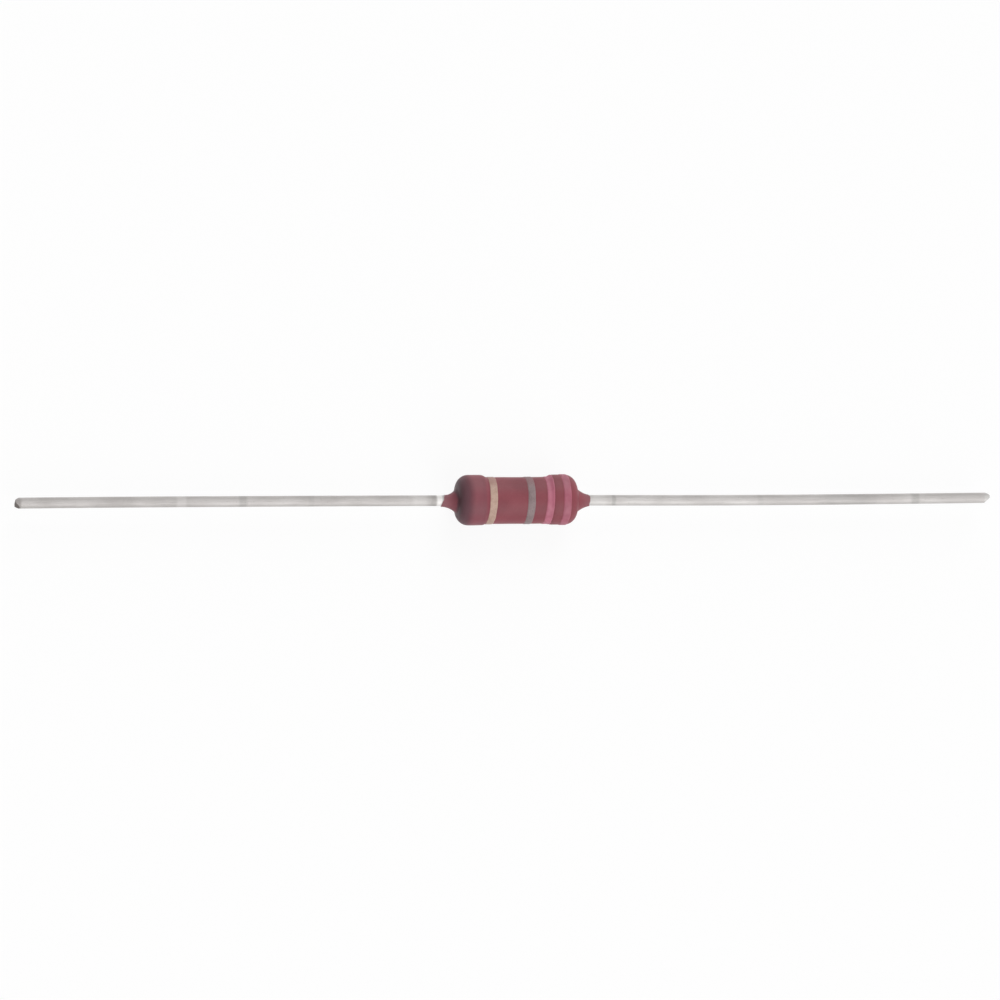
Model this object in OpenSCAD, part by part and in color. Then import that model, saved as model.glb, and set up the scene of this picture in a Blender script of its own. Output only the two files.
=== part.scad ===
// Axial film resistor of the power type, lacquered, with long straight wire leads.
//
// X runs along the leads and the origin is the middle of the body. Right is +X, the end
// whose cap carries a rose band of its own. Every solid is turned about X, so a section
// is drawn as points [x, radius], and the right half is drawn and mirrored to the left.

/* [Ceramic rod] */
// Diameter of the ceramic rod
rod_d = 3.0; // [2.4:0.1:3.6]
// Length of the ceramic rod
rod_l = 8.4; // [7:0.1:12]
// Radius that tumbling leaves on the edges of the rod
rod_edge_r = 0.32; // [0.3:0.01:0.4]

/* [Resistive film] */
// Thickness of the film on the rod
film_t = 0.03; // [0.02:0.005:0.06]
// Turns of the spiral that trims the film to its value
spiral_turns = 2.5; // [1:0.5:4]
// Length of the rod that the spiral takes up
spiral_l = 3.4; // [2:0.1:4]
// Width of the spiral cut, measured along the rod
spiral_w = 0.2; // [0.1:0.05:0.4]

/* [End caps] */
// Thickness of the drawn cap
cap_t = 0.2; // [0.15:0.01:0.25]
// Length of a cap, from its mouth to its outer face
cap_l = 1.85; // [1.5:0.05:2.1]
// Outer radius of the bend between the wall and the floor of a cap
cap_bend_r = 0.5; // [0.45:0.01:0.55]
// Depth of the lead-in inside the mouth of a cap
cap_lead_in = 0.08; // [0.04:0.01:0.12]

/* [Wire leads] */
// Diameter of the tinned wire
wire_d = 0.8; // [0.6:0.05:0.9]
// Length of one lead, from the cap to its tip
lead_l = 33; // [20:0.5:40]
// Diameter of the head upset on the wire where it is welded to the cap
weld_d = 1.3; // [1.2:0.05:1.5]
// Thickness of the welded head at its rim
weld_t = 0.08; // [0.05:0.01:0.12]
// Length of the neck in which the welded head draws down to the wire
weld_neck_l = 0.5; // [0.4:0.02:0.6]
// Length of the two slanted faces that the cutter leaves on a tip
nip_l = 0.32; // [0.2:0.02:0.5]
// Width of the ridge left between those two faces
nip_ridge = 0.22; // [0.1:0.02:0.4]
// Turn of the ridge about the wire at the left tip
left_nip_roll = 20; // [0:5:90]
// Turn of the ridge about the wire at the right tip
right_nip_roll = 65; // [0:5:90]

/* [Lacquer coat] */
// Thickness of the lacquer on the film, between the caps
coat_mid_t = 0.185; // [0.14:0.005:0.19]
// Thickness of the lacquer round a cap
coat_cap_t = 0.12; // [0.1:0.01:0.16]
// Thickness of the lacquer on the outer face of a cap
coat_face_t = 0.16; // [0.12:0.01:0.2]
// Thickness of the lacquer where it is thinnest, over the bend of a cap
coat_bend_t = 0.05; // [0.03:0.01:0.08]
// Length of the slope where the coat steps up on to a cap
step_l = 0.5; // [0.4:0.05:0.7]
// Distance from the mouth of a cap to the middle of that slope
step_lead = 0.05; // [0:0.01:0.1]
// Length of the lacquer drawn out along the wire, from the end of the body
meniscus_l = 1.05; // [0.8:0.05:1.4]
// Radius of that lacquer where it leaves the end of the body
meniscus_r = 0.95; // [0.85:0.05:1]
// Depth of the hollow in its slope
meniscus_hollow = 0.08; // [0.04:0.01:0.12]
// Thickness of its rim on the wire
meniscus_rim = 0.03; // [0.02:0.01:0.06]

/* [Painted bands] */
// Thickness of the paint
band_t = 0.03; // [0.02:0.01:0.06]
// Width of each band
band_w = 0.56; // [0.4:0.02:0.8]
// Place of the gold band along the body
gold_x = -2.07; // [-2.3:0.01:-1.4]
// Place of the silver band along the body
silver_x = 0.9; // [0.5:0.01:1.2]
// Place of the inner rose band along the body
inner_rose_x = 2.3; // [2.1:0.01:2.6]
// Place of the rose band on the right cap
outer_rose_x = 3.56; // [3.4:0.01:3.6]

/* [Hidden] */

// Segments round the axis, and segments in each arc of a section
$fn = 96;
arc_steps = 10;
// Segments in one turn of the spiral cut, and how far its cutter passes the film
spiral_steps = 16;
spiral_reach = 0.08;

// Colours of the finishes
ceramic_white = [0.90, 0.88, 0.83];
film_grey = [0.47, 0.45, 0.42];
cap_tin = [0.72, 0.71, 0.68];
wire_tin = [0.78, 0.77, 0.76];
lacquer_maroon = [0.55, 0.33, 0.36];
paint_gold = [0.74, 0.62, 0.56];
paint_silver = [0.57, 0.49, 0.50];
paint_rose = [0.69, 0.43, 0.50];

// Radii from the inside out
rod_r = rod_d / 2;
film_r = rod_r + film_t;
cap_r = film_r + cap_t;
wire_r = wire_d / 2;
weld_r = weld_d / 2;
coat_mid_r = film_r + coat_mid_t;
coat_cap_r = cap_r + coat_cap_t;

// Places along the axis, from the middle of the body outwards
rod_end = rod_l / 2;
film_end = rod_end - rod_edge_r;
cap_end = rod_end + cap_t;
cap_mouth = cap_end - cap_l;
body_end = cap_end + coat_face_t;
meniscus_end = body_end + meniscus_l;
tip = cap_end + lead_l;

// The neck of the welded head is one arc that runs out along the wire
weld_end = cap_end + weld_t + weld_neck_l;
weld_rise = weld_r - wire_r;
weld_neck_r = (weld_neck_l * weld_neck_l + weld_rise * weld_rise) / (2 * weld_rise);

// The step is two equal arcs that meet half way up the slope
step_x = cap_mouth - step_lead;
step_h = coat_cap_r - coat_mid_r;
step_r = (step_l * step_l / step_h + step_h) / 4;
step_angle = asin(step_l / 2 / step_r);

// The shoulder radius is the one that leaves coat_bend_t of lacquer over the bend of the
// cap. The excess of the one radius over the other solves a quadratic.
bend_sum = coat_face_t + coat_cap_t - coat_bend_t;
bend_squares = pow(coat_face_t, 2) + pow(coat_cap_t, 2) - pow(coat_bend_t, 2);
shoulder_r = cap_bend_r + bend_sum + sqrt(bend_sum * bend_sum - bend_squares);

// Points of an arc, from angle a0 to angle a1
function arc(centre, r, a0, a1) =
    [for (i = [0 : arc_steps])
        let (a = a0 + (a1 - a0) * i / arc_steps) centre + r * [cos(a), sin(a)]];

// Points of a hollow from a to b whose middle lies depth below the straight line
function hollow(a, b, depth) =
    let (chord = norm(b - a),
         r = (chord * chord / 4 + depth * depth) / (2 * depth),
         along = (b - a) / chord,
         centre = (a + b) / 2 + (r - depth) * [-along.y, along.x],
         middle = atan2(-along.x, along.y),
         half = asin(chord / 2 / r))
    arc(centre, r, middle - half, middle + half);

// Right half of the body, without the lacquer on the wire. The paint follows the same
// line, grown outwards by its own thickness.
function half_body(grow = 0) = concat(
    arc([step_x - step_l / 2, coat_mid_r + step_r], step_r - grow, -90, step_angle - 90),
    arc([step_x + step_l / 2, coat_cap_r - step_r], step_r + grow, 90 + step_angle, 90),
    arc([body_end - shoulder_r, coat_cap_r - shoulder_r], shoulder_r + grow, 90, 0),
    [[body_end + grow, 0]]);

// Lacquer drawn out along the right lead
function half_meniscus() = concat(
    hollow([body_end, meniscus_r], [meniscus_end, wire_r + meniscus_rim], meniscus_hollow),
    [[meniscus_end, 0]]);

// Right half of the rod, with its tumbled edge
function half_rod() = concat(
    arc([film_end, rod_r - rod_edge_r], rod_edge_r, 90, 0),
    [[rod_end, 0]]);

// Outside of the right cap
function cap_outside() = concat(
    [[cap_mouth, 0], [cap_mouth, cap_r]],
    arc([cap_end - cap_bend_r, cap_r - cap_bend_r], cap_bend_r, 90, 0),
    [[cap_end, 0]]);

// Inside of the right cap, open at its mouth
function cap_inside() = concat(
    [[cap_mouth, 0], [cap_mouth, film_r + cap_lead_in / 2], [cap_mouth + cap_lead_in, film_r]],
    arc([cap_end - cap_bend_r, cap_r - cap_bend_r], cap_bend_r - cap_t, 90, 0),
    [[rod_end, 0]]);

// Right lead, from its welded head to its tip
function lead_outline() = concat(
    [[cap_end, 0], [cap_end, weld_r]],
    arc([weld_end, wire_r + weld_neck_r], weld_neck_r, 270 - asin(weld_neck_l / weld_neck_r), 270),
    [[tip, wire_r], [tip, 0]]);

// A right half, from its crest to the axis, closed by its mirror image on the left
function mirrored(half) =
    concat(half, [for (i = [len(half) - 1 : -1 : 0]) [-half[i].x, half[i].y]]);

// A section drawn as [x, radius], turned about X
module turned() rotate([0, 90, 0]) rotate_extrude() mirror([1, -1, 0]) children();

// A section at the right end, and its mirror image at the left end
module both_ends() {
    children();
    mirror([1, 0, 0]) children();
}

// Whole outline of the body, grown outwards by grow
module body_outline(grow = 0) polygon(mirrored(half_body(grow)));

module ceramic_rod()
    color(ceramic_white) turned() polygon(mirrored(half_rod()));

// The spiral cut is an arc-shaped wedge, extruded with a twist
module spiral_cut() {
    inner = rod_r - spiral_reach;
    outer = film_r + spiral_reach;
    wedge = 360 * spiral_w * spiral_turns / spiral_l;
    sides = ceil(wedge * spiral_steps / 360);
    function rim(r, i) = r * [cos(wedge * i / sides), sin(wedge * i / sides)];
    translate([-spiral_l / 2, 0, 0]) rotate([0, 90, 0])
        linear_extrude(spiral_l, twist = 360 * spiral_turns,
                       slices = round(spiral_steps * spiral_turns))
            polygon(concat([for (i = [0 : sides]) rim(outer, i)],
                           [for (i = [sides : -1 : 0]) rim(inner, i)]));
}

module resistive_film()
    color(film_grey) difference() {
        turned() translate([-film_end, rod_r]) square([2 * film_end, film_t]);
        spiral_cut();
    }

module right_end_cap()
    color(cap_tin) turned() difference() {
        polygon(cap_outside());
        polygon(cap_inside());
    }

module left_end_cap() mirror([1, 0, 0]) right_end_cap();

// A lead with its tip nipped off from two sides, so a ridge is left across the wire
module lead(nip_roll)
    color(wire_tin) difference() {
        turned() polygon(lead_outline());
        for (side = [0, 180]) rotate([nip_roll + side, 0, 0]) nipped_side();
    }

module nipped_side()
    rotate([90, 0, 0]) linear_extrude(2 * wire_d, center = true)
        polygon([[tip - nip_l, wire_r], [tip, nip_ridge / 2], [tip + nip_l, nip_ridge / 2],
                 [tip + nip_l, wire_d], [tip - nip_l, wire_d]]);

module right_lead() lead(right_nip_roll);

module left_lead() mirror([1, 0, 0]) lead(left_nip_roll);

// The coat, hollow where the rod, the film, the caps and the leads fill it
module lacquer_coat()
    color(lacquer_maroon) turned() difference() {
        union() {
            body_outline();
            polygon(mirrored(half_meniscus()));
        }
        translate([-film_end, 0]) square([2 * film_end, film_r]);
        both_ends() {
            polygon(cap_outside());
            polygon(lead_outline());
        }
    }

// A ring of paint that follows the surface of the coat
module band(x)
    turned() intersection() {
        difference() {
            body_outline(band_t);
            body_outline();
        }
        translate([x - band_w / 2, 0]) square([band_w, 2 * coat_cap_r]);
    }

module gold_band() color(paint_gold) band(gold_x);

module silver_band() color(paint_silver) band(silver_x);

module inner_rose_band() color(paint_rose) band(inner_rose_x);

module outer_rose_band() color(paint_rose) band(outer_rose_x);

ceramic_rod();
resistive_film();
left_end_cap();
right_end_cap();
left_lead();
right_lead();
lacquer_coat();
gold_band();
silver_band();
inner_rose_band();
outer_rose_band();
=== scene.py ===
# Looks of an axial film resistor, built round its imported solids. Metres, with X along the leads.
import math
import bmesh
import bpy
from mathutils import Matrix, Vector


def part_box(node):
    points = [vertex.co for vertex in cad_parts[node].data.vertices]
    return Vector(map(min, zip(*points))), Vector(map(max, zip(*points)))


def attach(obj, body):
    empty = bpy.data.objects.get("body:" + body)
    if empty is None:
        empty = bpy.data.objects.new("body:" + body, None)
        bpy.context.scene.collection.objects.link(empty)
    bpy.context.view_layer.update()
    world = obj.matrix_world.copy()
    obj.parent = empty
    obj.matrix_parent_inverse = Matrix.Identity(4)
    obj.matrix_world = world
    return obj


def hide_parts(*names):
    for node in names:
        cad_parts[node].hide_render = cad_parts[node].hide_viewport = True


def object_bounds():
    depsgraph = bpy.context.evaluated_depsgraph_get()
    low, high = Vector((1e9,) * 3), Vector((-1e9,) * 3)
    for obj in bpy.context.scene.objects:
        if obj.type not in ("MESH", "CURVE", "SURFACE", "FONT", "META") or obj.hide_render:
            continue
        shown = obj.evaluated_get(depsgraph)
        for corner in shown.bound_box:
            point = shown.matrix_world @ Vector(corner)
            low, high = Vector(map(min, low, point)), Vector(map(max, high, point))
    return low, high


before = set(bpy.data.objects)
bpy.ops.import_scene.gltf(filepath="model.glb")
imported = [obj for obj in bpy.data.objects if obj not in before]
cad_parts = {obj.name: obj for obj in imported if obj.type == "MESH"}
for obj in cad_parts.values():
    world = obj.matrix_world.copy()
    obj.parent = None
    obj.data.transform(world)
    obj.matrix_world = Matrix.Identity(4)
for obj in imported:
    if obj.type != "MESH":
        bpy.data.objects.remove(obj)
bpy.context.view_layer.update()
mm = 0.001
seamGap = 1e-6  # metres: points of a rolled-up grid that are closer than this become one
doubleGap = 1e-7  # and the same in any finished mesh
sharpAngle = 35  # degrees: a bend past this stays a sharp edge


def tint(red, green, blue):  # a screen colour, 0 to 255, as the linear colour that shaders use
    def linear(c):
        c = c / 255
        return c / 12.92 if c <= 0.04045 else ((c + 0.055) / 1.055) ** 2.4
    return (linear(red), linear(green), linear(blue), 1)


def grey(level):
    return (level, level, level, 1)


# Node graphs

class Term:  # one socket: sums written with it add Math nodes
    def __init__(self, graph, socket):
        self.graph, self.socket = graph, socket

    def output(self, name):
        return Term(self.graph, self.socket.node.outputs[name])

    def __add__(self, other):
        return self.graph.math("ADD", self, other)

    def __radd__(self, other):
        return self.graph.math("ADD", other, self)

    def __sub__(self, other):
        return self.graph.math("SUBTRACT", self, other)

    def __rsub__(self, other):
        return self.graph.math("SUBTRACT", other, self)

    def __mul__(self, other):
        return self.graph.math("MULTIPLY", self, other)

    def __rmul__(self, other):
        return self.graph.math("MULTIPLY", other, self)

    def __truediv__(self, other):
        return self.graph.math("DIVIDE", self, other)

    def __pow__(self, other):
        return self.graph.math("POWER", self, other)


class Graph:
    def __init__(self, tree):
        self.tree = tree

    def node(self, kind, settings=None, sockets=None, output=0):
        made = self.tree.nodes.new(kind)
        for name, value in (settings or {}).items():
            setattr(made, name, value)
        for key, value in (sockets or {}).items():
            socket = self.pick(made.inputs, key)
            if isinstance(value, Term):
                self.tree.links.new(value.socket, socket)
            else:
                socket.default_value = value
        return Term(self, self.pick(made.outputs, output)) if made.outputs else made

    def pick(self, sockets, key):  # by number, or the first one in use that has this name
        if isinstance(key, int):
            return sockets[key]
        return next(s for s in sockets if s.name == key and s.enabled)

    def math(self, operation, *terms):
        return self.node("ShaderNodeMath", {"operation": operation}, dict(enumerate(terms)))

    def least(self, a, b):
        return self.math("MINIMUM", a, b)

    def most(self, a, b):
        return self.math("MAXIMUM", a, b)

    def absolute(self, term):
        return self.math("ABSOLUTE", term)

    def rise(self, term, low, high):  # 0 below low, 1 above high, smooth between
        return self.node("ShaderNodeMapRange", {"interpolation_type": "SMOOTHSTEP"},
                         {"Value": term, "From Min": low, "From Max": high}, "Result")

    def spot(self, term, centre, half):  # 1 round the centre, 0 further than half from it
        return 1 - self.rise(self.absolute(term - centre), half * 0.4, half)

    def mix(self, share, a, b):
        settings = {"data_type": "RGBA", "blend_type": "MIX"}
        return self.node("ShaderNodeMix", settings, {"Factor": share, "A": a, "B": b}, "Result")

    def split(self, vector):
        x = self.node("ShaderNodeSeparateXYZ", None, {0: vector})
        return x, x.output("Y"), x.output("Z")

    def join(self, x=0.0, y=0.0, z=0.0):
        return self.node("ShaderNodeCombineXYZ", None, {"X": x, "Y": y, "Z": z})

    def noise(self, vector, width, detail=2.0, seed=0.0):
        return self.node("ShaderNodeTexNoise", {"noise_dimensions": "4D"},
                         {"Vector": vector, "W": seed, "Scale": 1 / width, "Detail": detail}, 0)

    def stretch(self, vector, scale):
        return self.node("ShaderNodeMapping", None, {"Vector": vector, "Scale": scale})

    def objectPlace(self):
        return self.node("ShaderNodeTexCoord", None, None, "Object")


def newTree(name, inputs):  # a geometry tree with named inputs, one geometry in and one out
    tree = bpy.data.node_groups.new(name, "GeometryNodeTree")
    face = tree.interface
    face.new_socket("Geometry", in_out="INPUT", socket_type="NodeSocketGeometry")
    face.new_socket("Geometry", in_out="OUTPUT", socket_type="NodeSocketGeometry")
    for label, kind in inputs.items():
        face.new_socket(label, in_out="INPUT", socket_type="NodeSocket" + kind)
    graph = Graph(tree)
    given = graph.node("NodeGroupInput")
    return graph, {label: given.output(label) for label in ["Geometry", *inputs]}


def rollUp(graph, grid, places):  # lays a flat grid round the body and closes its seams
    shaped = graph.node("GeometryNodeSetPosition", None, {"Geometry": grid, "Position": places})
    return graph.node("GeometryNodeMergeByDistance", None,
                      {"Geometry": shaped, "Distance": seamGap})


def finishTree(graph, geometry, material):
    real = graph.node("GeometryNodeRealizeInstances", None, {"Geometry": geometry})
    done = graph.node("GeometryNodeSetMaterial", None, {"Geometry": real, "Material": material})
    out = graph.tree.nodes.new("NodeGroupOutput")
    graph.tree.links.new(done.socket, out.inputs[0])


def grow(name, tree, values, start=None):
    # runs a tree on a start mesh and keeps the result as a plain mesh
    piece = bpy.data.objects.new(name, start or bpy.data.meshes.new(name))
    bpy.context.scene.collection.objects.link(piece)
    modifier = piece.modifiers.new("grow", "NODES")
    modifier.node_group = tree
    for item in tree.interface.items_tree:
        if item.in_out == "INPUT" and item.name in values:
            modifier[item.identifier] = values[item.name]
    depsgraph = bpy.context.evaluated_depsgraph_get()
    grown = piece.evaluated_get(depsgraph)
    mesh = bpy.data.meshes.new_from_object(grown, depsgraph=depsgraph)
    piece.modifiers.clear()
    piece.data = mesh
    faceOut(mesh)
    mesh.shade_smooth()
    mesh.set_sharp_from_angle(angle=math.radians(sharpAngle))
    print(f"made {name}: {len(mesh.polygons)} faces")
    return piece


def faceOut(mesh):
    work = bmesh.new()
    work.from_mesh(mesh)
    bmesh.ops.remove_doubles(work, verts=work.verts, dist=doubleGap)
    bmesh.ops.recalc_face_normals(work, faces=work.faces)
    work.to_mesh(mesh)
    work.free()


def keep(piece, slot, *nodes):
    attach(piece, "root")
    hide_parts(*nodes)


def newMaterial(name):
    material = bpy.data.materials.new(name)
    material.use_nodes = True
    material.node_tree.nodes.clear()
    return material, Graph(material.node_tree)


def wearSurface(graph, sockets):  # the Principled shader and its output
    shader = graph.node("ShaderNodeBsdfPrincipled", None, sockets)
    graph.node("ShaderNodeOutputMaterial", None, {"Surface": shader})


def bump(graph, height, depth, before=None):
    sockets = {"Height": height, "Distance": depth, "Strength": 1.0}
    if before:
        sockets["Normal"] = before
    return graph.node("ShaderNodeBump", None, sockets, "Normal")


# Sizes that the frame gives, in millimetres

def sizes(node):
    low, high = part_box(node)
    return low / mm, high / mm


coatHigh = sizes("lacquer_coat")[1]
capLow, capHigh = sizes("right_end_cap")
leadLow, leadHigh = sizes("right_lead")

coat = {  # millimetres
    "capRadius": coatHigh.z,  # over the caps
    "midRadius": 1.715,  # between them
    "filmRadius": 1.53,  # its hidden side, on the film
    "capBend": 0.5,  # the corner of the cap that it covers
    "stepPlace": capLow.x - 0.05,
    "stepLength": 0.5,
    "bodyEnd": capHigh.x + 0.16,
    "shoulder": 0.854,  # radius of its rounded end
    "meniscusRadius": 0.95,  # where the cone on each wire starts
    "meniscusEnd": coatHigh.x,
    "leftHollow": 0.15,  # how far that cone dips below a straight line
    "rightHollow": 0.09,
    "rim": 0.03,  # thickness of the lacquer's edge on the wire
    "tuck": 0.01,  # how far its hidden side lies in the wire
    "unevenness": 0.022,  # broad swells of the dipped lacquer
    "swellWidth": 2.6,
    "lumps": 0.006,
    "lumpWidth": 0.7,
    "sag": 0.012,  # more lacquer on the underside
    "fullness": 0.03,  # how far the outside stands over its even thickness
    "capLean": 0.03,  # how much more of that lies to the back of the caps
    "midLean": -0.015,  # and to the front between them
    "leanBlend": 0.3,  # half the length over which one passes into the other
    "fullEnd": (-0.1, 0.2),  # where the fullness fades out, from the end of the body
    "rimWander": 0.16,  # how unevenly the edge runs round the wire
    "rimWanderWidth": 1.1,  # as a share of the radius
    "rimSlant": 0.1,  # how much further the left edge reaches along the front of its wire
    "coneSag": 0.07,  # more lacquer along the front of the cones
    "coneSagStart": (-0.3, 0.2),  # from the end of the body
    "coneSagLoss": 0.6,  # share of it that is gone at the rim
    "wireShift": -0.03,  # how far the right wire sits off the axis, towards the front
    "spacing": 0.07,  # distance between rings
    "arcSteps": 14,
    "roundings": 6,  # how often the corners are relaxed
    "segments": 144,
    "seed": 4,
}

wire = {  # millimetres
    "radius": 0.4,
    "start": leadLow.x,
    "tip": leadHigh.x,
    "headRadius": leadHigh.z,
    "headLength": 0.08,
    "neckLength": 0.5,
    "nipLength": 0.32,
    "ridge": 0.22,
    "wander": 0.03,  # how far the wire strays from its even bend
    "wanderLength": 17,
    "tinSwell": 0.012,  # unevenness of the tin, as a share of the radius
    "swellLength": 1.3,
    "swellStart": 1,  # over this length it sets in, from the neck on
    "rings": 960,
    "segments": 32,
}


# Lacquer coat

def arc(centre, radius, start, end):
    steps = coat["arcSteps"]
    angles = [math.radians(start + (end - start) * i / steps) for i in range(steps + 1)]
    return [(centre[0] + radius * math.cos(a), centre[1] + radius * math.sin(a)) for a in angles]


def hollow(a, b, depth):  # an arc from a to b that dips below the straight line
    a, b = Vector(a), Vector(b)
    chord = (b - a).length
    radius = (chord ** 2 / 4 + depth ** 2) / (2 * depth)
    along = (b - a) / chord
    centre = (a + b) / 2 + (radius - depth) * Vector((-along.y, along.x))
    middle = math.degrees(math.atan2(-along.x, along.y))
    half = math.degrees(math.asin(chord / 2 / radius))
    return arc(centre, radius, middle - half, middle + half)


def spaced(points, gap):  # adds points until none are further apart than gap
    result = [points[0]]
    for a, b in zip(points, points[1:]):
        count = max(1, math.ceil(math.dist(a, b) / gap))
        result += [(a[0] + (b[0] - a[0]) * i / count, a[1] + (b[1] - a[1]) * i / count)
                   for i in range(1, count + 1)]
    return result


def relaxed(points, passes):  # surface tension rounds the corners of the wet lacquer
    for _ in range(passes):
        inner = [((p[0] + 2 * q[0] + r[0]) / 4, (p[1] + 2 * q[1] + r[1]) / 4)
                 for p, q, r in zip(points, points[1:], points[2:])]
        points = [points[0], *inner, points[-1]]
    return points


def coatHalf(hollowDepth):  # from the middle out to the rim and back inside: (x, skin, radius)
    c, w = coat, wire
    half = c["stepLength"] / 2
    rise = c["capRadius"] - c["midRadius"]
    bend = (c["stepLength"] ** 2 / rise + rise) / 4
    turn = math.degrees(math.asin(half / bend))
    low = (c["stepPlace"] - half, c["midRadius"] + bend)
    high = (c["stepPlace"] + half, c["capRadius"] - bend)
    corner = (c["bodyEnd"] - c["shoulder"], c["capRadius"] - c["shoulder"])
    rim = (c["meniscusEnd"], w["radius"] + c["rim"])
    outside = [(0, c["midRadius"])]
    outside += arc(low, bend, -90, turn - 90)
    outside += arc(high, bend, 90 + turn, 90)
    outside += arc(corner, c["shoulder"], 90, 0)
    outside += hollow((c["bodyEnd"], c["meniscusRadius"]), rim, hollowDepth)
    outside = relaxed(spaced(outside, c["spacing"]), c["roundings"])
    tucked = w["radius"] - c["tuck"]
    head = w["start"] + w["headLength"]
    capCorner = (w["start"] - c["capBend"], capHigh.z - c["capBend"])
    inside = [(c["meniscusEnd"], tucked), (head + w["neckLength"], tucked),
              (head, w["headRadius"]), (w["start"], w["headRadius"])]
    inside += arc(capCorner, c["capBend"], 0, 90)
    inside += [(capLow.x, capHigh.z), (capLow.x, c["filmRadius"]), (0, c["filmRadius"])]
    return [(x, 1, r) for x, r in outside] + [(x, 0, r) for x, r in inside]


def coatSection():  # the whole section as one closed loop; skin is 1 on the outside
    right = coatHalf(coat["rightHollow"])
    left = [(-x, skin, r) for x, skin, r in reversed(coatHalf(coat["leftHollow"]))]
    return right + left[1:-1]


def coatTree():
    g, given = newTree("coat", {
        "Points": "Int", "Segments": "Int", "Unevenness": "Float", "Lumps": "Float",
        "Sag": "Float", "Fullness": "Float", "Cap Lean": "Float", "Mid Lean": "Float",
        "Cap Start": "Float", "Rim Wander": "Float", "Rim Slant": "Float",
        "Cone Sag": "Float", "Wire Shift": "Float", "Body End": "Float",
        "Meniscus End": "Float", "Seed": "Float", "Material": "Material"})
    points, bodyEnd, seed = given["Points"], given["Body End"], given["Seed"]
    grid = g.node("GeometryNodeMeshGrid", None,
                  {"Size X": 1.0, "Size Y": 1.0, "Vertices X": given["Segments"] + 1,
                   "Vertices Y": points + 1}, "Mesh")
    place = g.node("GeometryNodeInputPosition")
    gridX, gridY, _ = g.split(place)
    turn = (gridX + 0.5) * math.tau
    index = g.math("ROUND", (gridY + 0.5) * points)
    wrapped = g.math("FLOORED_MODULO", index, points)
    sampled = g.node("GeometryNodeSampleIndex", {"data_type": "FLOAT_VECTOR", "clamp": True},
                     {"Geometry": given["Geometry"], "Value": place, "Index": wrapped})
    x, skin, radius = g.split(sampled)
    cosine, sine = g.math("COSINE", turn), g.math("SINE", turn)
    around = g.join(x, radius * cosine, radius * sine)
    # the lacquer runs out on the wire further in some places than in others
    out = g.absolute(x)
    onWire = g.rise(out, bodyEnd, given["Meniscus End"])
    leftEnd = g.math("LESS_THAN", x, 0.0)
    ring = g.join(x * 50, cosine, sine)  # x only sets the two ends apart
    wander = (g.noise(ring, coat["rimWanderWidth"], 1.0, seed + 20) - 0.5) * given["Rim Wander"] * 2
    wander = wander - leftEnd * cosine * given["Rim Slant"]
    reach = g.math("SIGN", x) * onWire * wander
    aside = (1 - leftEnd) * onWire * given["Wire Shift"]
    # and it is uneven all over the body
    swell = (g.noise(around, coat["swellWidth"] * mm, 1.5, seed) - 0.5) * given["Unevenness"] * 2
    lumps = (g.noise(around, coat["lumpWidth"] * mm, 1.0, seed + 7) - 0.5) * given["Lumps"] * 2
    sag = given["Sag"] * (0.5 - sine * 0.5)
    blend = coat["leanBlend"] * mm
    onCap = g.rise(out, given["Cap Start"] - blend, given["Cap Start"] + blend)
    lean = given["Mid Lean"] + onCap * (given["Cap Lean"] - given["Mid Lean"])
    fadeStart, fadeEnd = (bodyEnd + along * mm for along in coat["fullEnd"])
    fill = (given["Fullness"] + lean * cosine) * (1 - g.rise(out, fadeStart, fadeEnd))
    droopStart, droopFull = (bodyEnd + along * mm for along in coat["coneSagStart"])
    droop = given["Cone Sag"] * (0.5 - cosine * 0.5) * g.rise(out, droopStart, droopFull)
    droop = droop * (1 - coat["coneSagLoss"] * onWire)
    full = radius + ((swell + lumps + sag) * (1 - onWire) + fill + droop) * skin
    closed = rollUp(g, grid, g.join(x + reach, full * cosine + aside, full * sine))
    finishTree(g, closed, given["Material"])
    return g.tree


coatLook = {  # widths and places in millimetres
    "dark": tint(132, 65, 74),  # two tones that drift over the body
    "light": tint(141, 73, 81),
    "driftWidth": 1.7,
    "speck": tint(148, 86, 92),
    "speckWidth": 0.16,
    "speckShare": 0.35,
    "step": tint(116, 56, 66),  # painted shade: a darker line where the coat steps up to each cap
    "stepWidth": 0.5,
    "stepShare": 0.2,
    "haze": tint(136, 100, 112),  # the left cap is a little greyer
    "hazePlace": (2.2, 2.8),
    "hazeShare": 0.17,
    "leftShade": tint(84, 68, 75),  # painted shade round the left shoulder, where the left end turns away from the light
    "leftShadeEdge": tint(74, 42, 52),
    "leftShadePlace": (3.3, 4.05, 4.6, 4.8),  # where it fades in, and out again
    "leftShadeEdgePlace": (3.7, 4.2),
    "leftShadeShare": 0.68,
    "leftShadeRagged": 0.5,  # how far its edge strays
    "leftShadeLean": 0.09,  # how fast its edge draws back towards the back of the body
    "thin": tint(139, 97, 102),  # drawn out thin on the wires
    "thinShare": 0.55,
    "peelWidth": 0.3,  # an orange-peel surface with fine grain and pinholes
    "peelDepth": 0.012,
    "grainWidth": 0.05,
    "grainDepth": 0.0012,
    "pinholeWidth": 0.13,
    "pinholeDepth": 6,  # times that of the grain
    "gloss": 0.28,
}


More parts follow.
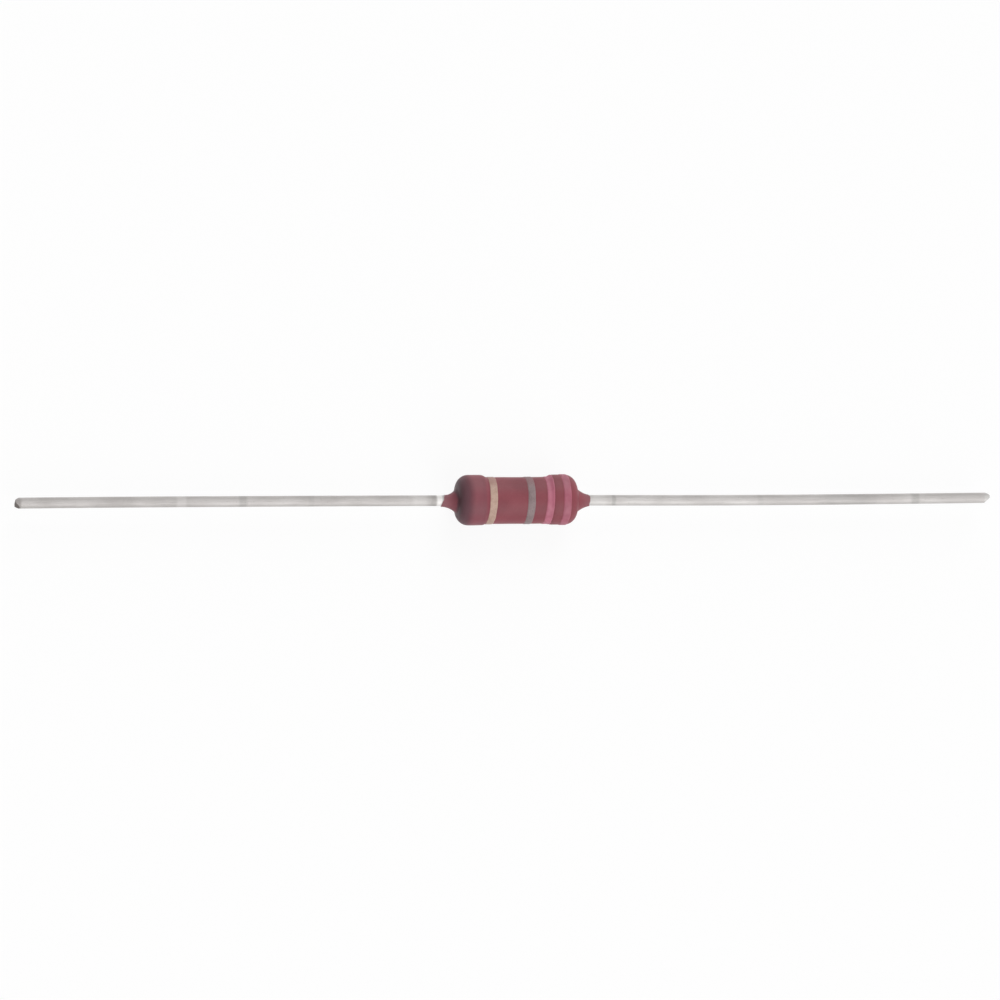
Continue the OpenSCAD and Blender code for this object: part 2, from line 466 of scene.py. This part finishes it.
def lacquerMaterial():
    material, g = newMaterial("lacquer")
    look = coatLook
    place = g.objectPlace()
    x, y, _ = g.split(place)
    out = g.absolute(x)
    drift = g.noise(place, look["driftWidth"] * mm, 3.0, 1.0)
    speck = g.noise(place, look["speckWidth"] * mm, 2.0, 2.0)
    body = g.mix(g.rise(drift, 0.32, 0.68), look["dark"], look["light"])
    body = g.mix(g.rise(speck, 0.55, 0.8) * look["speckShare"], body, look["speck"])
    # painted shade in the bend where the coat steps up to each cap
    step = g.spot(out, coat["stepPlace"] * mm, look["stepWidth"] * mm)
    body = g.mix(step * look["stepShare"], body, look["step"])
    left = x * -1 + (drift - 0.5) * look["leftShadeRagged"] * mm - g.most(y, 0.0) * look["leftShadeLean"]
    hazeStart, hazeFull = (along * mm for along in look["hazePlace"])
    body = g.mix(g.rise(left, hazeStart, hazeFull) * look["hazeShare"], body, look["haze"])
    # painted shade round the left shoulder, with its darkest maroon at the inner edge
    shadeStart, shadeFull, shadeFade, shadeEnd = (along * mm for along in look["leftShadePlace"])
    paintedShade = g.rise(left, shadeEnd, shadeFade) * g.rise(left, shadeStart, shadeFull)
    edgeStart, edgeEnd = (along * mm for along in look["leftShadeEdgePlace"])
    shadeTone = g.mix(g.rise(left, edgeStart, edgeEnd), look["leftShadeEdge"], look["leftShade"])
    body = g.mix(paintedShade * look["leftShadeShare"], body, shadeTone)
    thin = g.rise(out, coat["bodyEnd"] * mm, coat["meniscusEnd"] * mm)
    body = g.mix(thin * look["thinShare"], body, look["thin"])
    peel = g.noise(place, look["peelWidth"] * mm, 2.0, 3.0)
    grain = g.noise(place, look["grainWidth"] * mm, 2.0, 4.0)
    pinholes = g.rise(g.noise(place, look["pinholeWidth"] * mm, 0.0, 6.0), 0.74, 0.82)
    normal = bump(g, peel, look["peelDepth"] * mm)
    normal = bump(g, grain - pinholes * look["pinholeDepth"], look["grainDepth"] * mm, normal)
    wearSurface(g, {"Base Color": body, "Roughness": 0.4 + 0.16 * drift, "Normal": normal,
                    "IOR": 1.5, "Specular IOR Level": look["gloss"]})
    return material


section = coatSection()
profile = bpy.data.meshes.new("coatProfile")
profile.from_pydata([(x * mm, skin, r * mm) for x, skin, r in section], [], [])
lacquer = lacquerMaterial()
coatSkin = grow("coatSkin", coatTree(), {
    "Points": len(section), "Segments": coat["segments"],
    "Unevenness": coat["unevenness"] * mm, "Lumps": coat["lumps"] * mm, "Sag": coat["sag"] * mm,
    "Fullness": coat["fullness"] * mm, "Cap Lean": coat["capLean"] * mm,
    "Mid Lean": coat["midLean"] * mm, "Cap Start": coat["stepPlace"] * mm,
    "Rim Wander": coat["rimWander"] * mm, "Rim Slant": coat["rimSlant"] * mm,
    "Cone Sag": coat["coneSag"] * mm, "Wire Shift": coat["wireShift"] * mm,
    "Body End": coat["bodyEnd"] * mm, "Meniscus End": coat["meniscusEnd"] * mm,
    "Seed": float(coat["seed"]), "Material": lacquer}, profile)
keep(coatSkin, "lacquer", "lacquer_coat")


# Painted bands: each ring feels for the finished lacquer and lies on it

bands = {  # slant, shift and wander in millimetres
    "gold": {"node": "gold_band", "paint": "goldPaint", "slant": 0.075, "shift": 0.01,
             "wander": 0.05, "seed": 1},
    "silver": {"node": "silver_band", "paint": "silverPaint", "slant": 0.045, "shift": -0.07,
               "wander": 0.04, "seed": 2},
    "innerRose": {"node": "inner_rose_band", "paint": "rosePaint", "slant": 0.07, "shift": 0,
                  "wander": 0.05, "seed": 3},
    "outerRose": {"node": "outer_rose_band", "paint": "thinRosePaint", "slant": 0.02, "shift": 0,
                  "wander": 0.05, "seed": 4},
}
paints = {
    "goldPaint": {"slot": "gold_paint", "dark": tint(170, 139, 124), "light": tint(184, 155, 140),
                  "flake": tint(214, 190, 166), "metal": 0.15, "rough": 0.4},
    "silverPaint": {"slot": "silver_paint", "dark": tint(123, 104, 105),
                    "light": tint(137, 118, 119), "flake": tint(168, 154, 154),
                    "metal": 0.15, "rough": 0.4},
    "rosePaint": {"slot": "rose_paint", "dark": tint(173, 93, 113), "light": tint(185, 106, 126),
                  "flake": None, "metal": 0.0, "rough": 0.42},
    "thinRosePaint": {"slot": "rose_paint", "dark": tint(160, 83, 101),
                      "light": tint(172, 96, 114), "flake": None, "metal": 0.0, "rough": 0.42},
}
ringShape = {  # millimetres
    "thickness": 0.028,
    "edgeRidge": 0.35,  # how much thicker the paint dried at its edges, as a share
    "ridgePower": 4.0,  # a higher one makes that ridge narrower
    "flatPower": 6.0,  # and keeps the paint flat closer to its edges
    "wanderWidth": 0.45,  # of the swings in its edges, as a share of the radius
    "wanderSkew": 0.35,  # how differently the two edges swing
    "sink": 0.03,  # how far the ring's hidden side lies in the lacquer
    "lean": 10,  # degrees round the body to where the slant peaks
    "across": 40,  # points round the ring's own section
    "around": 240,
    "reach": 3.0,  # where the feelers start, from the axis
}
paintLook = {  # widths, depths and places in millimetres
    "driftWidth": 0.5,
    "driftRough": 0.12,
    "grainWidth": 0.12,
    "grainDepth": 0.004,
    "flakeWidth": 0.028,  # metal flakes in the gold and the silver
    "flakeShare": 0.3,
    "flakeShine": 0.5,
    "backShade": tint(137, 69, 77),  # painted shade: these two darken to the lacquer's colour towards the back
    "backShadePlace": (0.4, 1.2),
    "backShadeShare": 0.4,
}


def bandTree():
    g, given = newTree("band", {
        "Coat": "Object", "Centre": "Float", "Width": "Float", "Slant": "Float",
        "Lean": "Float", "Wander": "Float", "Thickness": "Float", "Ridge": "Float",
        "Sink": "Float", "Reach": "Float", "Across": "Int", "Around": "Int", "Seed": "Float",
        "Material": "Material"})
    grid = g.node("GeometryNodeMeshGrid", None,
                  {"Size X": 1.0, "Size Y": 1.0, "Vertices X": given["Around"] + 1,
                   "Vertices Y": given["Across"] + 1}, "Mesh")
    gridX, gridY, _ = g.split(g.node("GeometryNodeInputPosition"))
    turn, loop = (gridX + 0.5) * math.tau, (gridY + 0.5) * math.tau
    cosine, sine = g.math("COSINE", turn), g.math("SINE", turn)
    across = g.math("COSINE", loop)
    upper = g.math("GREATER_THAN", g.math("SINE", loop), 0.0)
    flat = 1 - g.absolute(across) ** ringShape["flatPower"]
    ridge = 1 + given["Ridge"] * g.absolute(across) ** ringShape["ridgePower"]
    height = flat * (upper * given["Thickness"] * ridge - (1 - upper) * given["Sink"])
    ring = g.join(across * ringShape["wanderSkew"], cosine, sine)
    edge = g.noise(ring, ringShape["wanderWidth"], 2.0, given["Seed"]) - 0.5
    shift = given["Slant"] * g.math("COSINE", turn - given["Lean"])
    x = given["Centre"] + across * given["Width"] / 2 + shift + edge * given["Wander"] * 2
    start = g.join(x, given["Reach"] * cosine, given["Reach"] * sine)
    inward = g.join(0.0, cosine * -1, sine * -1)
    target = g.node("GeometryNodeObjectInfo", {"transform_space": "ORIGINAL"},
                    {"Object": given["Coat"]}, "Geometry")
    fall = g.node("GeometryNodeRaycast", None,
                  {"Target Geometry": target, "Source Position": start,
                   "Ray Direction": inward, "Ray Length": given["Reach"] * 2}, "Hit Distance")
    radius = given["Reach"] - fall + height
    closed = rollUp(g, grid, g.join(x, radius * cosine, radius * sine))
    finishTree(g, closed, given["Material"])
    return g.tree


def paintMaterial(name, look):
    material, g = newMaterial(name)
    place = g.objectPlace()
    drift = g.noise(place, paintLook["driftWidth"] * mm, 3.0, 1.0)
    body = g.mix(g.rise(drift, 0.3, 0.7), look["dark"], look["light"])
    if look["flake"]:
        cell = g.node("ShaderNodeTexVoronoi", None,
                      {"Vector": place, "Scale": 1 / (paintLook["flakeWidth"] * mm)}, "Color")
        shine = g.rise(g.split(cell)[0], 1 - paintLook["flakeShare"], 1.0)
        body = g.mix(shine * paintLook["flakeShine"], body, look["flake"])
        # painted shade: the gold and the silver darken towards the back
        start, full = (along * mm for along in paintLook["backShadePlace"])
        backShade = g.rise(g.split(place)[1], start, full)
        body = g.mix(backShade * paintLook["backShadeShare"], body, paintLook["backShade"])
    grain = g.noise(place, paintLook["grainWidth"] * mm, 2.0, 5.0)
    wearSurface(g, {"Base Color": body,
                    "Roughness": look["rough"] + paintLook["driftRough"] * drift,
                    "Normal": bump(g, grain, paintLook["grainDepth"] * mm),
                    "IOR": 1.5, "Metallic": look["metal"]})
    return material


finishes = {name: paintMaterial(name, look) for name, look in paints.items()}
ringTree = bandTree()
for name, band in bands.items():
    low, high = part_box(band["node"])
    ring = grow(name + "Band", ringTree, {
        "Coat": coatSkin, "Width": high.x - low.x,
        "Centre": (low.x + high.x) / 2 + band["shift"] * mm,
        "Slant": band["slant"] * mm, "Lean": math.radians(ringShape["lean"]),
        "Wander": band["wander"] * mm, "Thickness": ringShape["thickness"] * mm,
        "Ridge": ringShape["edgeRidge"], "Sink": ringShape["sink"] * mm,
        "Reach": ringShape["reach"] * mm, "Across": ringShape["across"],
        "Around": ringShape["around"], "Seed": float(band["seed"]),
        "Material": finishes[band["paint"]]})
    keep(ring, paints[band["paint"]]["slot"], band["node"])


# Wire leads

leads = {  # marks and painted highlights are places on the tin: (distance from the middle, half width, strength)
    "leftWire": {"node": "left_lead", "side": -1, "nipRoll": 80, "seed": 11, "shift": 0,
                 "bow": 0.03,  # how far the wire bends to the back, in millimetres
                 "dull": (0.6, 0.8),  # near the body, at the tip
                 # painted reflection on the cut faces of the tip: dark on this wire
                 "cut": tint(88, 79, 75), "cutShare": 0.8,
                 "marks": [(6.35, 0.25, 0.22), (15.6, 0.3, 0.1), (20.7, 0.4, 0.3)],
                 "paintedHighlight": [(5.9, 0.3, 0.8), (7.4, 0.8, 0.25), (25.25, 0.5, 0.2)]},
    "rightWire": {"node": "right_lead", "side": 1, "nipRoll": 92, "seed": 23,
                  "shift": coat["wireShift"],
                  "bow": -0.07, "dull": (0.36, 0.35),
                  # painted reflection on the cut faces of the tip: light on this wire
                  "cut": tint(206, 208, 205), "cutShare": 0.7,
                  "marks": [(7.5, 0.2, 0.3), (19.0, 0.3, 0.1), (26.1, 3.0, 0.28),
                            (31.4, 0.45, 0.3)],
                  "paintedHighlight": [(6.4, 0.8, 0.15)]},
}
tin = {  # widths, depths and places in millimetres
    "bright": tint(202, 199, 197),
    "dull": tint(177, 173, 171),
    "dullStart": 8,  # from here the dullness changes towards that of the tip
    "line": tint(150, 146, 144),  # fine lines from drawing the wire
    "lineWidth": 0.05,
    "lineDepth": 0.006,
    "patchWidth": 0.9,  # of patches where the dullness varies
    "pit": tint(150, 145, 143),
    "pitWidth": 0.11,
    "blotWidth": 0.32,
    # colour of the painted highlights on the tin
    "paintedHighlight": tint(234, 232, 230),
    "mark": tint(128, 126, 124),
    "markRagged": 0.25,  # how far the edges of a mark stray
    "dentWidth": 0.3,
    "dentDepth": 0.004,
    "shearWidth": 0.035,  # of the lines on the cut faces
    "reflectionSpread": (0.5, 0.3),  # how far from the tip the painted reflection starts to spread over the wire, and is full
}


def leadTree():
    g, given = newTree("lead", {
        "Side": "Float", "Start": "Float", "Tip": "Float", "Radius": "Float",
        "Head Radius": "Float", "Head Length": "Float", "Neck Length": "Float",
        "Nip Length": "Float", "Ridge": "Float", "Nip Roll": "Float", "Bow": "Float",
        "Wander": "Float", "Shift": "Float", "Body End": "Float", "Meniscus End": "Float",
        "Tin Swell": "Float", "Rings": "Int", "Segments": "Int", "Seed": "Float",
        "Material": "Material"})
    side, start, tip, wireRadius = (given[n] for n in ("Side", "Start", "Tip", "Radius"))
    neckLength, seed = given["Neck Length"], given["Seed"]
    line = g.node("GeometryNodeCurvePrimitiveLine", None,
                  {"Start": g.join(start * side), "End": g.join(tip * side)})
    path = g.node("GeometryNodeResampleCurve", None, {"Curve": line, "Count": given["Rings"]})
    out = g.split(g.node("GeometryNodeInputPosition"))[0] * side
    # the welded head narrows to the wire along one arc
    neckEnd = start + given["Head Length"] + neckLength
    swell = given["Head Radius"] - wireRadius
    neckArc = (neckLength ** 2.0 + swell ** 2.0) / (swell * 2)
    reach = g.least(g.most(neckEnd - out, 0.0), neckLength)
    neck = neckArc - g.math("SQRT", neckArc ** 2.0 - reach ** 2.0)
    spin = g.join(out)
    tinned = (g.noise(spin, wire["swellLength"] * mm, 2.0, seed) - 0.5) * given["Tin Swell"] * 2
    bareWire = g.rise(out, neckEnd, neckEnd + wire["swellStart"] * mm)
    scale = 1 + neck / wireRadius + tinned * bareWire
    # tape and packing leave long shallow bends
    far = g.most((out - neckEnd) / (tip - neckEnd), 0.0)
    stray = given["Wander"] * 2 * g.rise(far, 0.0, 1.0)
    strayY = (g.noise(spin, wire["wanderLength"] * mm, 0.0, seed + 3) - 0.5) * stray
    strayZ = (g.noise(spin, wire["wanderLength"] * mm, 0.0, seed + 9) - 0.5) * stray
    bend = given["Bow"] * 4 * far * (1 - far)
    aside = given["Shift"] * g.rise(out, given["Body End"], given["Meniscus End"])
    bent = g.node("GeometryNodeSetPosition", None,
                  {"Geometry": path, "Offset": g.join(0.0, aside + bend + strayY, strayZ)})
    ring = g.node("GeometryNodeCurvePrimitiveCircle", None,
                  {"Resolution": given["Segments"], "Radius": wireRadius}, "Curve")
    tube = g.node("GeometryNodeCurveToMesh", None,
                  {"Curve": bent, "Profile Curve": ring, "Scale": scale, "Fill Caps": True})
    # the cutter's two slanted faces
    x, y, z = g.split(g.node("GeometryNodeInputPosition"))
    left = tip - x * side
    halfRidge = given["Ridge"] / 2
    half = halfRidge + left / given["Nip Length"] * (wireRadius - halfRidge)
    cosine, sine = g.math("COSINE", given["Nip Roll"]), g.math("SINE", given["Nip Roll"])
    away = z * cosine - y * sine
    held = g.least(g.most(away, half * -1), half)
    push = (held - away) * g.math("LESS_THAN", left, given["Nip Length"])
    nipped = g.node("GeometryNodeSetPosition", None,
                    {"Geometry": tube, "Offset": g.join(0.0, push * sine * -1, push * cosine)})
    finishTree(g, nipped, given["Material"])
    return g.tree


def tinMaterial(name, lead):
    material, g = newMaterial(name)
    seed = lead["seed"]
    place = g.objectPlace()
    x, y, z = g.split(place)
    out = x * lead["side"]
    lines = g.noise(g.stretch(place, (0.03, 1, 1)), tin["lineWidth"] * mm, 3.0, seed)
    patches = g.noise(g.stretch(place, (0.3, 1, 1)), tin["patchWidth"] * mm, 4.0, seed + 2)
    near, far = lead["dull"]
    dull = near + (far - near) * g.rise(out, tin["dullStart"] * mm, wire["tip"] * mm)
    dull = dull + (g.rise(patches, 0.35, 0.65) - 0.5) * 0.5
    pits = g.rise(g.noise(place, tin["pitWidth"] * mm, 2.0, seed + 5), 0.62, 0.8)
    blots = g.rise(g.noise(place, tin["blotWidth"] * mm, 1.0, seed + 6), 0.66, 0.76)
    body = g.mix(dull, tin["bright"], tin["dull"])
    body = g.mix(g.rise(lines, 0.5, 0.75) * 0.3, body, tin["line"])
    body = g.mix(pits * 0.4 + blots * 0.2, body, tin["pit"])
    # painted highlights: lighter tin where the light glints on the wire
    for where, half, strength in lead["paintedHighlight"]:
        body = g.mix(g.spot(out, where * mm, half * mm) * strength, body, tin["paintedHighlight"])
    stray = g.noise(place, tin["markRagged"] * mm, 2.0, seed + 8) - 0.5
    ragged = out + stray * tin["markRagged"] * mm
    for where, half, strength in lead["marks"]:
        body = g.mix(g.spot(ragged, where * mm, half * mm) * strength, body, tin["mark"])
    # the cutter's two faces, with a painted reflection on them that spreads round them at half
    # strength, and fine lines from the shearing
    roll = math.radians(lead["nipRoll"])
    cosine, sine = math.cos(roll), math.sin(roll)
    tip, ridge = wire["tip"] * mm, wire["ridge"] / 2 * mm
    slope = (wire["radius"] - wire["ridge"] / 2) / wire["nipLength"]
    away = g.absolute(z * cosine - y * sine) - ridge - (tip - out) * slope
    cutFace = g.most(g.rise(away, -0.02 * mm, -0.008 * mm), g.rise(out, tip - 0.02 * mm, tip))
    spreadStart, spreadFull = (tip - along * mm for along in tin["reflectionSpread"])
    cut = g.most(cutFace, g.rise(out, spreadStart, spreadFull) * 0.5)
    # the painted reflection is weaker towards the back
    front = 1 - 0.6 * g.rise(y + (lines - 0.5) * 0.3 * mm, -0.05 * mm, 0.3 * mm)
    body = g.mix(cut * front * lead["cutShare"], body, lead["cut"])
    sheared = g.noise(g.join(y * cosine + z * sine), tin["shearWidth"] * mm, 2.0, seed + 7)
    rough = 0.42 + 0.14 * dull + 0.12 * pits + 0.08 * lines + 0.1 * cutFace
    normal = bump(g, lines + (sheared - lines) * cutFace, tin["lineDepth"] * mm)
    dents = g.noise(place, tin["dentWidth"] * mm, 2.0, seed + 4)
    normal = bump(g, dents, tin["dentDepth"] * mm, normal)
    wearSurface(g, {"Base Color": body, "Roughness": rough, "Normal": normal, "Metallic": 1.0})
    return material


wireTree = leadTree()
for name, lead in leads.items():
    tinned = tinMaterial(name + "Tin", lead)
    piece = grow(name, wireTree, {
        "Side": float(lead["side"]), "Start": wire["start"] * mm, "Tip": wire["tip"] * mm,
        "Radius": wire["radius"] * mm, "Head Radius": wire["headRadius"] * mm,
        "Head Length": wire["headLength"] * mm, "Neck Length": wire["neckLength"] * mm,
        "Nip Length": wire["nipLength"] * mm, "Ridge": wire["ridge"] * mm,
        "Nip Roll": math.radians(lead["nipRoll"]), "Bow": lead["bow"] * mm,
        "Wander": wire["wander"] * mm, "Shift": lead["shift"] * mm,
        "Body End": coat["bodyEnd"] * mm, "Meniscus End": coat["meniscusEnd"] * mm,
        "Tin Swell": wire["tinSwell"], "Rings": wire["rings"],
        "Segments": wire["segments"], "Seed": float(lead["seed"]), "Material": tinned})
    keep(piece, "wire_tin", lead["node"])


# Pieces under the lacquer keep their solids

hiddenDepth = 0.003  # of their grain, in millimetres
hidden = {  # grain in millimetres; a stretch below 1 draws it out along that axis
    "ceramic": {"nodes": ["ceramic_rod"], "dark": tint(226, 221, 208),
                "light": tint(240, 236, 226), "grain": 0.12, "stretch": (1, 1, 1),
                "rough": 0.7, "metal": 0.0},
    "film": {"nodes": ["resistive_film"], "dark": tint(118, 112, 106),
             "light": tint(138, 132, 125), "grain": 0.2, "stretch": (1, 0.3, 0.3),
             "rough": 0.45, "metal": 0.8},
    "capTin": {"nodes": ["left_end_cap", "right_end_cap"], "dark": tint(198, 195, 190),
               "light": tint(220, 217, 212), "grain": 0.25, "stretch": (0.2, 1, 1),
               "rough": 0.35, "metal": 1.0},
}


def hiddenMaterial(name, look):
    material, g = newMaterial(name)
    grain = g.noise(g.stretch(g.objectPlace(), look["stretch"]), look["grain"] * mm, 3.0)
    body = g.mix(g.rise(grain, 0.3, 0.7), look["dark"], look["light"])
    wearSurface(g, {"Base Color": body, "Roughness": look["rough"] + 0.15 * grain,
                    "Normal": bump(g, grain, hiddenDepth * mm), "Metallic": look["metal"]})
    return material


for name, look in hidden.items():
    finish = hiddenMaterial(name, look)
    for node in look["nodes"]:
        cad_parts[node].data.materials.clear()
        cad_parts[node].data.materials.append(finish)
print("dressed the rod, the film and the caps")


# Floor, light and camera

studio = {
    "floorSize": 2.4,  # metres
    "backdrop": 1.0,  # how white the floor and the sky look to the camera
    "floorShare": 0.09,  # share of the floor's look that shadows can darken
    "floorWhite": 0.92,  # colour of that share
    "floorBounce": 0.3,  # colour that the floor throws back on the object
    "sky": 2.43,  # strength of its light, which its direction scales as follows
    "overhead": 0.55,  # straight above the object, with 1 added towards the front and the back
    "sides": (0.32, 0.6),  # where that starts, and is full, as the y of the direction
    "back": 0.25,  # and this much more again towards the back
    "backPlace": (0.1, 0.8),
    "dusk": (-0.12, 0.12),  # the sky lights nothing to the left of this, the gold band's side
    "rightFall": (0.36, 0.66),  # and it fades again low on the right
    "farWall": 0.16,  # how much darker the seen sky is at the back
    "lampPlace": (0.06, -0.45, 0.24),  # metres
    "lampSize": (0.8, 0.45),
    "lampPower": 0.75,
}

view = {
    "distance": 290,  # millimetres from the middle of the body
    "yaw": 13.6,  # the left end is nearer
    "lean": 15,  # how far the camera leans towards the front from straight above
    "roll": 0.35,  # the right end is a little higher in the picture
    "lens": 139.6,
    "sensor": 36,
    "clip": (0.01, 10),  # metres
    "imageSize": 1000,
    "bodyPixel": (515.9, 500.25),  # where the middle of the body lies in the photograph
}


def seenAsBackdrop(g):  # 1 for rays that only look at the floor or the sky
    seen = g.node("ShaderNodeLightPath", None, None, "Is Camera Ray")
    mirrored = g.most(seen.output("Is Glossy Ray"), seen.output("Is Transmission Ray"))
    return g.most(seen, mirrored)


def makeFloor():
    half = studio["floorSize"] / 2
    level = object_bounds()[0].z
    corners = [(-half, -half, level), (half, -half, level), (half, half, level),
               (-half, half, level)]
    mesh = bpy.data.meshes.new("floor")
    mesh.from_pydata(corners, [], [(0, 1, 2, 3)])
    floor = bpy.data.objects.new("floor", mesh)
    bpy.context.scene.collection.objects.link(floor)
    material, g = newMaterial("floorPaper")
    seen = seenAsBackdrop(g)
    tone = g.mix(seen, grey(studio["floorBounce"]), grey(studio["floorWhite"]))
    matt = g.node("ShaderNodeBsdfDiffuse", None, {"Color": tone})
    bright = g.node("ShaderNodeEmission", None, {"Color": grey(studio["backdrop"])})
    look = g.node("ShaderNodeMixShader", None,
                  {0: seen * (1 - studio["floorShare"]), 1: matt, 2: bright})
    g.node("ShaderNodeOutputMaterial", None, {"Surface": look})
    mesh.materials.append(material)


def makeSky():
    world = bpy.data.worlds.new("sky")
    bpy.context.scene.world = world
    world.use_nodes = True
    world.node_tree.nodes.clear()
    g = Graph(world.node_tree)
    x, y, _ = g.split(g.node("ShaderNodeTexCoord", None, None, "Generated"))
    back = g.rise(y, *studio["backPlace"])
    level = g.rise(x, *studio["dusk"]) * (1 - g.rise(x, *studio["rightFall"]))
    level = level * (studio["overhead"] + g.rise(g.absolute(y), *studio["sides"])) * studio["sky"]
    level = level * (1 + studio["back"] * back)
    light = g.node("ShaderNodeBackground", None, {"Color": grey(1), "Strength": level})
    white = g.node("ShaderNodeBackground", None, {"Color": grey(studio["backdrop"]),
                                                  "Strength": 1 - studio["farWall"] * back})
    sky = g.node("ShaderNodeMixShader", None, {0: seenAsBackdrop(g), 1: light, 2: white})
    g.node("ShaderNodeOutputWorld", None, {"Surface": sky})


def makeLamp():
    lamp = bpy.data.lights.new("frontSoftbox", "AREA")
    lamp.shape = "RECTANGLE"
    lamp.size, lamp.size_y = studio["lampSize"]
    lamp.energy = studio["lampPower"]
    holder = bpy.data.objects.new("frontSoftbox", lamp)
    holder.location = studio["lampPlace"]
    towards = -Vector(studio["lampPlace"])
    holder.rotation_euler = towards.to_track_quat("-Z", "Y").to_euler()
    bpy.context.scene.collection.objects.link(holder)


def makeCamera():
    yaw, lean, roll = (math.radians(view[key]) for key in ("yaw", "lean", "roll"))
    back = Vector((-math.sin(yaw), -math.cos(yaw) * math.sin(lean),
                   math.cos(yaw) * math.cos(lean)))
    level = (Vector((1, 0, 0)) - back * back.x).normalized()
    upright = back.cross(level)
    right = level * math.cos(roll) - upright * math.sin(roll)
    up = upright * math.cos(roll) + level * math.sin(roll)
    camera = bpy.data.cameras.new("camera")
    camera.sensor_width = view["sensor"]
    camera.lens = view["lens"]
    camera.clip_start, camera.clip_end = view["clip"]
    # it turns a little, so that the middle of the body lies on its pixel
    pixel = camera.sensor_width / camera.lens / view["imageSize"]  # at a distance of 1
    across, down = (place - view["imageSize"] / 2 for place in view["bodyPixel"])
    forward = (-back - (right * across - up * down) * pixel).normalized()
    right = forward.cross(up).normalized()
    up = right.cross(forward)
    holder = bpy.data.objects.new("camera", camera)
    turn = Matrix((right, up, -forward)).transposed().to_4x4()
    holder.matrix_world = Matrix.Translation(back * view["distance"] * mm) @ turn
    bpy.context.scene.collection.objects.link(holder)
    bpy.context.scene.camera = holder


makeFloor()
makeSky()
makeLamp()
makeCamera()
bpy.context.scene.view_settings.view_transform = "Standard"
print("set the floor, the light and the camera")
